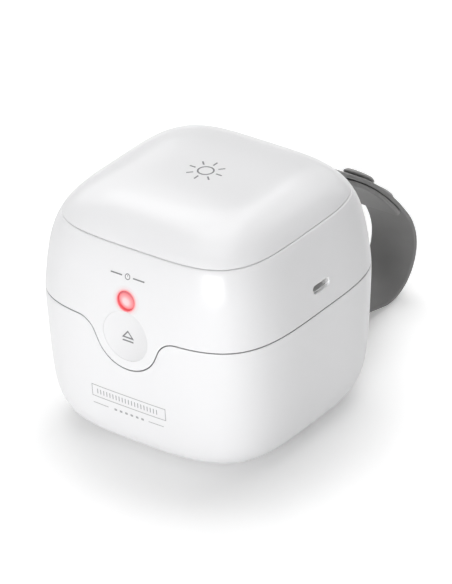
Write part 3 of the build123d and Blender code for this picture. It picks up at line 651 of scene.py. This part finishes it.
def strap_stud(number, matrix):
    """Mushroom stud with a domed head, and a stem that ends inside the strap's inner layer."""
    head, stem, lift, height = 4.9, 1.8, 0.5, 1.4  # two radii, then the head's lift and height
    rim, dome, inset = 0.45, 0.12, 0.3  # its rounding and crown, and where its flat underside ends
    under = 2 * strap_thickness + layer_gap - stud_skin
    profile = [(stem, -under), (stem, lift), (head - inset, lift)]
    profile += [(head - rim + rim * math.cos(a), lift + rim + rim * math.sin(a))
                for a in np.linspace(-1.2, 1.1, 7)]
    profile += [(r, lift + height - dome * (r / head) ** 2) for r in np.linspace(head - 0.8, 0.3, 8)]
    return place(lathe(f"strap_stud_{number}", profile), matrix)


# ---- materials ----
def add_node(tree, kind, values=None, **settings):
    """New shader node with its settings, and the values of its inputs by name or number."""
    node = tree.nodes.new("ShaderNode" + kind)
    for key, value in settings.items():
        setattr(node, key, value)
    for key, value in (values or {}).items():
        node.inputs[key].default_value = value
    return node


def shader(name, color, roughness, metallic=0.0, spread=0.06, grain=2500.0, bump=0.02, mottle=0.02,
           stretch=None, **sockets):
    """Principled material whose roughness, tint and fine relief vary over the surface."""
    material = bpy.data.materials.new(name)
    material.use_nodes = True
    tree = material.node_tree
    link, principled = tree.links.new, tree.nodes["Principled BSDF"]
    principled.inputs["Metallic"].default_value = metallic
    for key, value in sockets.items():
        principled.inputs[key.replace("_", " ")].default_value = value
    source = add_node(tree, "TexCoord").outputs["Object"]
    if stretch:
        mapping = add_node(tree, "Mapping", {"Scale": stretch})
        link(source, mapping.inputs["Vector"])
        source = mapping.outputs["Vector"]
    coarser = 12  # the broad noise's scale, against the fine one's
    broad = add_node(tree, "TexNoise", {"Scale": grain / coarser, "Detail": 4})
    fine = add_node(tree, "TexNoise", {"Scale": grain, "Detail": 3})
    for noise in (broad, fine):
        link(source, noise.inputs["Vector"])
    smoothest, roughest = max(roughness - spread, 0.02), min(roughness + spread, 1.0)
    rough = add_node(tree, "MapRange", {"To Min": smoothest, "To Max": roughest})
    link(broad.outputs["Fac"], rough.inputs["Value"])
    link(rough.outputs["Result"], principled.inputs["Roughness"])
    darker = (*[c * (1 - mottle) for c in color], 1)
    lighter = (*[min(c * (1 + mottle), 1) for c in color], 1)
    tint = add_node(tree, "MixRGB", {"Color1": darker, "Color2": lighter})
    link(broad.outputs["Fac"], tint.inputs["Fac"])
    link(tint.outputs["Color"], principled.inputs["Base Color"])
    relief = add_node(tree, "Bump", {"Strength": 0.5, "Distance": bump * MM})
    link(fine.outputs["Fac"], relief.inputs["Height"])
    link(relief.outputs["Normal"], principled.inputs["Normal"])
    return material


def glow_distance(material, centre, scale):
    """Distance from a point in the object's own space, divided by scale, as a node output."""
    tree = material.node_tree
    away = add_node(tree, "VectorMath", {1: [c * MM for c in centre]}, operation="DISTANCE")
    tree.links.new(add_node(tree, "TexCoord").outputs["Object"], away.inputs[0])
    divide = add_node(tree, "Math", {1: scale * MM}, operation="DIVIDE")
    tree.links.new(away.outputs["Value"], divide.inputs[0])
    return divide.outputs["Value"]


def ramp(material, value, stops):
    """Colour that follows a value through (position, colour) stops, as a node output."""
    node = add_node(material.node_tree, "ValToRGB")
    elements = node.color_ramp.elements
    while len(elements) < len(stops):
        elements.new(0.5)
    for element, (position, color) in zip(elements, stops):
        element.position = position
        element.color = (*color, 1)
    material.node_tree.links.new(value, node.inputs["Fac"])
    return node.outputs["Color"]


WHITE = (0.87, 0.87, 0.88)
front_face = -half_at(start_z)


def white_shell(name):
    """Glossy white plastic of the mouldings."""
    return shader(name, WHITE, 0.3, spread=0.012, grain=2600.0, bump=0.003, mottle=0.0015, Coat_Weight=0.2,
                  Coat_Roughness=0.12)


def with_halo(material):
    """Adds the red light that the start button throws on the plastic round its hole."""
    tree = material.node_tree
    principled = tree.nodes["Principled BSDF"]
    halo_radius, halo_color, halo_strength = 6.0, (0.82, 0.2, 0.22, 1), 0.4
    near = glow_distance(material, (0, front_face, start_z), halo_radius)
    cover = [(0.0, 1.0), (0.5, 1.0), (0.56, 0.42), (0.64, 0.12), (0.8, 0.0)]
    glow = [(0.0, (0.5, 0.03, 0.035)), (0.5, (0.4, 0.02, 0.025)), (0.58, (0.08, 0.004, 0.005)),
            (0.7, (0.0, 0.0, 0.0))]
    tinted = add_node(tree, "MixRGB", {"Color2": halo_color})
    plain = principled.inputs["Base Color"].links[0].from_socket
    share = ramp(material, near, [(position, (grey,) * 3) for position, grey in cover])
    tree.links.new(share, tinted.inputs["Fac"])
    tree.links.new(plain, tinted.inputs["Color1"])
    tree.links.new(tinted.outputs["Color"], principled.inputs["Base Color"])
    tree.links.new(ramp(material, near, glow), principled.inputs["Emission Color"])
    principled.inputs["Emission Strength"].default_value = halo_strength
    return material


def start_light():
    """Plastic of the start button, lit from behind, white in its middle and red round it."""
    material = shader("start_light", (0.62, 0.14, 0.16), 0.22, grain=1500.0, bump=0.004)
    tree = material.node_tree
    principled = tree.nodes["Principled BSDF"]
    hot_spot, hot_radius, strength = (-0.1, front_face - 0.2, start_z - 0.25), 4.0, 0.75
    stops = [(0.0, (0.56, 0.78, 0.78)), (0.25, (0.56, 0.7, 0.7)), (0.45, (0.55, 0.34, 0.34)),
             (0.62, (0.52, 0.16, 0.17)), (0.68, (0.25, 0.08, 0.09)), (0.75, (0.2, 0.05, 0.06))]
    glow = ramp(material, glow_distance(material, hot_spot, hot_radius), stops)
    tree.links.new(glow, principled.inputs["Emission Color"])
    principled.inputs["Emission Strength"].default_value = strength
    return material


steel, drawn = dict(metallic=1.0, grain=3000.0), dict(metallic=1.0, grain=2000.0)
inked = dict(grain=3000.0, bump=0.002, mottle=0.05)
looks = {  # colour, roughness and what differs from a shader's usual values
    # button_white: the shell's white darkened a little, painted shade of the latch button's finger dish
    "button_white": ([0.95 * v for v in WHITE], 0.38,
                     dict(spread=0.015, grain=2600.0, bump=0.004, mottle=0.0015)),
    "strap_silicone": ((0.25, 0.248, 0.246), 0.6, dict(spread=0.08, bump=0.03, mottle=0.08)),
    "stud_plastic": ((0.29, 0.288, 0.286), 0.5, dict(mottle=0.06)),
    "socket_metal": ((0.78, 0.78, 0.78), 0.4, dict(metallic=0.5, grain=3000.0, stretch=(1, 6, 1))),
    "liner": ((0.83, 0.83, 0.85), 0.12, dict(metallic=1.0, grain=500.0, bump=0.01)),
    "inner_plastic": ((0.78, 0.78, 0.79), 0.45, dict(bump=0.03)),
    "foot_rubber": ((0.6, 0.6, 0.61), 0.75, dict(bump=0.05, mottle=0.05)),
    "seal_rubber": ((0.62, 0.62, 0.63), 0.6, dict(bump=0.03, mottle=0.05)),
    "screw_steel": ((0.55, 0.55, 0.56), 0.3, steel),
    "keeper_steel": ((0.5, 0.5, 0.51), 0.35, dict(drawn, stretch=(1, 1, 8))),
    "pin_steel": ((0.6, 0.6, 0.61), 0.25, dict(drawn, stretch=(1, 8, 8))),
    "spring_steel": ((0.5, 0.5, 0.51), 0.3, steel),
    "magnet": ((0.45, 0.45, 0.46), 0.25, drawn),
    "green_board": ((0.02, 0.16, 0.06), 0.35, dict(grain=2000.0, bump=0.01, mottle=0.15)),
    "led_package": ((0.85, 0.8, 0.45), 0.35, dict(mottle=0.08)),
    "battery_wrap": ((0.2, 0.33, 0.5), 0.4, dict(grain=800.0, mottle=0.06)),
    "tape_foam": ((0.8, 0.8, 0.74), 0.8, dict(bump=0.05)),
    "switch_black": ((0.03, 0.03, 0.03), 0.45, {}),
    # seam_edge: grey painted shade for the depth of the lid seam's gap, laid on its wall edges where the
    # moulding is white
    "seam_edge": ((0.4, 0.4, 0.41), 0.7, dict(grain=3000.0, bump=0.01, mottle=0.04)),
    "print_grey": ((0.2, 0.2, 0.21), 0.5, inked),
    "print_light": ((0.38, 0.38, 0.39), 0.5, inked),
    "window_glass": ((0.85, 0.93, 0.96), 0.05, dict(spread=0.02, grain=600.0, bump=0.004, mottle=0.01,
                                                    Transmission_Weight=0.9, IOR=1.46)),
}
MATERIALS = {name: shader(name, color, rough, **more) for name, (color, rough, more) in looks.items()}
MATERIALS["white_shell"] = white_shell("white_shell")
MATERIALS["start_light"] = start_light()


def dress(obj, slot, material=None):
    """Gives a piece one material, by default its record slot's own."""
    obj.data.materials.clear()
    obj.data.materials.append(material or MATERIALS[slot])
    for face in obj.data.polygons:
        face.material_index = 0
    return obj


def shade_grooves(obj):
    """Gives the matt grey seam_edge material, painted shade for the depth of the seam's gap, to a moulding's
    wall edge along the lid seam.
    """
    hole_margin, seam_reach = 0.3, 0.45
    tongue_drop, tongue_rise = 16, 0.5
    outer_skin, inner_skin = 0.12, 0.1  # left plain at both faces of the wall
    obj.data.materials.append(MATERIALS["seam_edge"])
    for face in obj.data.polygons:
        x, y, z = (c / MM for c in face.center)
        holes = ((open_z, open_radius), (start_z, start_radius))
        if any(math.hypot(x, z - middle) < radius + hole_margin for middle, radius in holes):
            continue
        power = plan_power(z)
        depth = half_at(z) - (abs(x) ** power + abs(y) ** power) ** (1 / power)
        near = abs(z - seam_z) < seam_reach
        on_tongue = y < 0 and abs(x) < front_reach and seam_z - tongue_drop < z < seam_z + tongue_rise
        if outer_skin < depth < wall - inner_skin and (near or on_tongue):
            face.material_index = 1
    return obj


def dress_frame():
    """Gives every CAD node the material of its record slot."""
    for row in frame["record"]["subparts"]:
        for slot in frame["nodes"][row["node"]].material_slots:
            slot.material = MATERIALS[row["material_slot"]]


# ---- printed marks ----
ink = 0.03  # printed marks stand this far off the surface


def on_front(x, z):
    """Point just off the front above (x, z)."""
    return (x, front_y(x, z) - ink, z)


def on_open_button(x, z):
    """Point just off the latch button's dish above (x, z)."""
    depth = open_depth(math.hypot(x, z - open_z))
    return (x, front_y(x, z) + depth + face_shy - ink, z)


def on_top(x, y):
    """Point just off the crowned top above (x, y)."""
    radius = (abs(x) ** plan_roundness + abs(y) ** plan_roundness) ** (1 / plan_roundness)
    share = radius / (body_half * (1 - lid_taper * lid_rise))
    return (x, y, seam_z + lid_rise * (1 - share**lid_roundness) ** (1 / lid_roundness) + ink)


def stroke(points, width, closed=False, spacing=0.5):
    """Flat ribbon of a width along a path of 2-D points, as (points, faces)."""
    path = [np.array(p, float) for p in points]
    if closed:
        path.append(path[0])
    fine = [path[0]]
    for a, b in zip(path, path[1:]):
        steps = max(1, round(np.linalg.norm(b - a) / spacing))
        fine += [a + (b - a) * (step + 1) / steps for step in range(steps)]
    fine = np.array(fine[:-1] if closed else fine)
    count = len(fine)
    ahead = np.roll(fine, -1, axis=0) - fine
    behind = fine - np.roll(fine, 1, axis=0)
    if not closed:
        ahead[-1], behind[0] = behind[-1], ahead[0]
    ahead /= np.linalg.norm(ahead, axis=1)[:, None]
    behind /= np.linalg.norm(behind, axis=1)[:, None]
    normal = np.stack([-(ahead + behind)[:, 1], (ahead + behind)[:, 0]], -1)
    length = np.linalg.norm(normal, axis=1)
    wider = (2 / length)[:, None]  # at a corner, so that both strokes keep their width
    normal = normal / length[:, None] * wider * width / 2
    made = np.concatenate([fine + normal, fine - normal])
    last = count if closed else count - 1
    faces = [(i, (i + 1) % count, count + (i + 1) % count, count + i) for i in range(last)]
    return made, faces


def circle(x, y, radius, steps=48):
    return [(x + radius * math.cos(2 * math.pi * i / steps), y + radius * math.sin(2 * math.pi * i / steps))
            for i in range(steps)]


def printed(name, shapes, surface, body, material):
    """One flat mark of several shapes laid on a surface."""
    points, faces = [], []
    for made, made_faces in shapes:
        start = len(points)
        points += [surface(a, b) for a, b in made]
        faces += [tuple(start + i for i in face) for face in made_faces]
    mark = dress(piece(name, points, faces), "button_white", MATERIALS[material])
    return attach(mark, body)


def base_marks():
    """Frame with a row of ticks, over two rules with a row of dots between them."""
    left, right, low, high = -13.4, 12.5, 17.4, 21.2
    tick_low, tick_high, tick_pitch, tick_width = 18.5, 20.1, 1.1, 0.3
    row_z, dot_length, dot_pitch, dot_width = 15.0, 0.9, 1.9, 0.7
    tick_left, tick_right, dot_left, dot_right = -11.4, 10.6, -5.8, 4.6
    rule_ends, line = ((left, -7.9), (6.3, 11.6)), 0.22
    border = stroke([(left, low), (right, low), (right, high), (left, high)], line, closed=True)
    ticks = [stroke([(x, tick_low), (x, tick_high)], tick_width)
             for x in np.arange(tick_left, tick_right, tick_pitch)]
    rules = [stroke([(a, row_z), (b, row_z)], line) for a, b in rule_ends]
    dots = [stroke([(x, row_z), (x + dot_length, row_z)], dot_width)
            for x in np.arange(dot_left, dot_right, dot_pitch)]
    printed("base_print", [border, *ticks, *rules, *dots], on_front, "base", "print_light")


def lid_marks():
    """Small timer sign over the start button, with a rule on each side."""
    z, radius, hand = 59.7, 0.8, 0.5
    near, far = 1.9, 5.9
    timer = [stroke(circle(0, z, radius, 32), 0.25, closed=True),
             stroke([(0, z), (0, z + hand)], 0.2, spacing=0.1)]
    rules = [stroke([(a, z), (b, z)], 0.4) for a, b in ((-far, -near), (near, far))]
    printed("lid_print", timer + rules, on_front, "lid", "print_grey")


def open_marks():
    """Triangle over a bar on the latch button."""
    triangle, bar = [(-1.7, 40.4), (1.7, 40.4), (0, 42.4)], [(-1.9, 39.3), (1.9, 39.3)]
    sign = [stroke(triangle, 0.4, closed=True, spacing=5.0), stroke(bar, 0.45)]
    printed("open_print", sign, on_open_button, "latch_button", "print_grey")


def top_marks():
    """Circle with eight rays on the middle of the top."""
    disc, ray_start, ray_end, width = 2.3, 3.6, 5.6, 0.5
    sun = [stroke(circle(0, 0, disc), width, closed=True)]
    for step in range(8):
        a = step * math.pi / 4
        ends = [(reach * math.cos(a), reach * math.sin(a)) for reach in (ray_start, ray_end)]
        sun.append(stroke(ends, width))
    printed("top_print", sun, on_top, "lid", "print_grey")


# ---- build the pieces ----
def build():
    """Makes each piece, ties it to its body and puts it in place of its CAD node."""
    dress_frame()
    base = shade_grooves(dress(base_shell(), "white_shell"))
    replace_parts(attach(base, "base"), "base_shell")
    lid = shade_grooves(dress(lid_shell(), "white_shell", with_halo(white_shell("white_shell_lit"))))
    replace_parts(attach(lid, "lid"), "lid_shell")
    cover = dress(top_cover(), "white_shell")
    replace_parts(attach(cover, "lid"), "top_cover")
    button = dress(open_button(), "button_white")
    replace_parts(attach(button, "latch_button"), "open_button")
    light = dress(start_button(), "start_light")
    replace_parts(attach(light, "start_key"), "start_button")
    band = dress(strap(), "strap_silicone")
    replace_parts(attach(band, "hanging_strap"), "strap")
    for number, matrix in enumerate(stud_places(), 1):
        stud = dress(strap_stud(number, matrix), "stud_plastic")
        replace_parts(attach(stud, "hanging_strap"), "strap_studs")
    base_marks()
    lid_marks()
    open_marks()
    top_marks()


# ---- camera, floor and light ----
image_width, image_height = 452, 584
view_azimuth, view_elevation, view_roll = 37.0175, 29.7361, -1.7103  # degrees
focal_pixels, middle_x, middle_y = 4887.0, 209.145, 282.696  # pixels
camera_distance, aim_height = 1.400, 0.0398  # metres
floor_half, floor_white, floor_rough = 6.0, 0.975, 0.6  # half its side in metres, its tone, its roughness
floor_lift = 0.18  # light added to the floor where it is seen, so that it reads white
# the lift's smaller share near the box paints shade on the floor round it
floor_fade = (0.044, 0.075, 0.8, 1.8)  # near and far from the middle in metres, and the lift's share there
world_fill = 0.05  # strength of the world as a light
lamp_distance, lamp_aim = 3.0, (0, 0, 0.04)  # metres
lamps = {  # azimuth, elevation in degrees, side in metres, power in watts
    "key": (20.0, 12.0, 1.6, 70.0),
    "back": (-140.0, 60.0, 2.0, 25.0),
    "behind": (180.0, 60.0, 2.0, 12.0),
    "top": (0.0, 85.0, 2.0, 17.0),
    "low_back": (180.0, 30.0, 2.0, 11.0),
    "left_back": (-120.0, 35.0, 2.0, 16.0),
}


def toward(azimuth, elevation):
    """Unit vector towards an azimuth and elevation in radians."""
    return Vector((math.sin(azimuth) * math.cos(elevation), -math.cos(azimuth) * math.cos(elevation),
                   math.sin(elevation)))


def add_camera():
    """The photo's camera, as fitted to the box's outline and seams."""
    a, e, roll = (math.radians(v) for v in (view_azimuth, view_elevation, view_roll))
    back = toward(a, e)
    level = Vector((math.cos(a), math.sin(a), 0))
    above = back.cross(level)
    right = math.cos(roll) * level + math.sin(roll) * above
    up = -math.sin(roll) * level + math.cos(roll) * above
    aim = -back + right * ((image_width / 2 - middle_x) / focal_pixels)
    aim -= up * ((image_height / 2 - middle_y) / focal_pixels)
    axis = -aim.normalized()
    side = up.cross(axis).normalized()
    turn = Matrix((side, axis.cross(side), axis)).transposed().to_4x4()
    data = bpy.data.cameras.new("camera")
    data.sensor_width = 36.0
    data.lens = focal_pixels * data.sensor_width / image_height
    data.clip_start, data.clip_end = 0.05, 20.0
    camera = new_object("camera", data)
    camera.matrix_world = Matrix.Translation(Vector((0, 0, aim_height)) + camera_distance * back) @ turn
    bpy.context.scene.camera = camera


def seen_directly(tree, otherwise=0.0, straight=floor_lift):
    """Strength that applies to camera, glossy and transmission rays, and another for the rest."""
    path = add_node(tree, "LightPath")
    seen = path.outputs["Is Camera Ray"]
    for ray in ("Is Glossy Ray", "Is Transmission Ray"):
        either = add_node(tree, "Math", operation="MAXIMUM")
        tree.links.new(seen, either.inputs[0])
        tree.links.new(path.outputs[ray], either.inputs[1])
        seen = either.outputs["Value"]
    strength = add_node(tree, "MapRange", {"To Min": otherwise, "To Max": straight})
    tree.links.new(seen, strength.inputs["Value"])
    return strength.outputs["Result"]


def floor_material():
    """Matt white that glows a little where it is seen, less so close to the box, which paints shade on the
    floor round it.
    """
    material = bpy.data.materials.new("floor")
    material.use_nodes = True
    tree = material.node_tree
    principled = tree.nodes["Principled BSDF"]
    values = {"Base Color": (*[floor_white] * 3, 1), "Roughness": floor_rough, "Specular IOR Level": 0.0,
              "Emission Color": (1, 1, 1, 1)}
    for key, value in values.items():
        principled.inputs[key].default_value = value
    distance = add_node(tree, "VectorMath", operation="LENGTH")
    tree.links.new(add_node(tree, "NewGeometry").outputs["Position"], distance.inputs[0])
    fade = dict(zip(("From Min", "From Max", "To Min", "To Max"), floor_fade))
    whiter = add_node(tree, "MapRange", fade, interpolation_type="SMOOTHSTEP")
    tree.links.new(distance.outputs["Value"], whiter.inputs["Value"])
    lift = add_node(tree, "Math", operation="MULTIPLY")
    tree.links.new(seen_directly(tree), lift.inputs[0])
    tree.links.new(whiter.outputs["Result"], lift.inputs[1])
    tree.links.new(lift.outputs["Value"], principled.inputs["Emission Strength"])
    return material


def add_floor():
    mesh = bpy.data.meshes.new("floor")
    corners = [(x * floor_half, y * floor_half, 0) for x, y in ((-1, -1), (1, -1), (1, 1), (-1, 1))]
    mesh.from_pydata(corners, [], [(0, 1, 2, 3)])
    mesh.materials.append(floor_material())
    floor = new_object("floor", mesh)


def add_light(name, azimuth, elevation, side, power):
    """Square area lamp at an azimuth and elevation in degrees, as the camera's are, aimed at the box."""
    way = toward(math.radians(azimuth), math.radians(elevation))
    data = bpy.data.lights.new(name, "AREA")
    data.shape = "RECTANGLE"
    data.size, data.size_y = side, side
    data.energy = power
    turn = way.to_track_quat("Z", "Y").to_matrix().to_4x4()
    new_object(name, data).matrix_world = Matrix.Translation(Vector(lamp_aim) + lamp_distance * way) @ turn


def add_world():
    """White world, bright where it is seen and faint as a light."""
    world = bpy.data.worlds.new("studio")
    bpy.context.scene.world = world
    world.use_nodes = True
    tree = world.node_tree
    background = tree.nodes["Background"]
    background.inputs["Color"].default_value = (1, 1, 1, 1)
    tree.links.new(seen_directly(tree, world_fill, 1.0), background.inputs["Strength"])


build()
add_camera()
add_floor()
add_world()
for lamp_name, lamp_values in lamps.items():
    add_light(lamp_name, *lamp_values)
bpy.context.scene.view_settings.view_transform = "Standard"
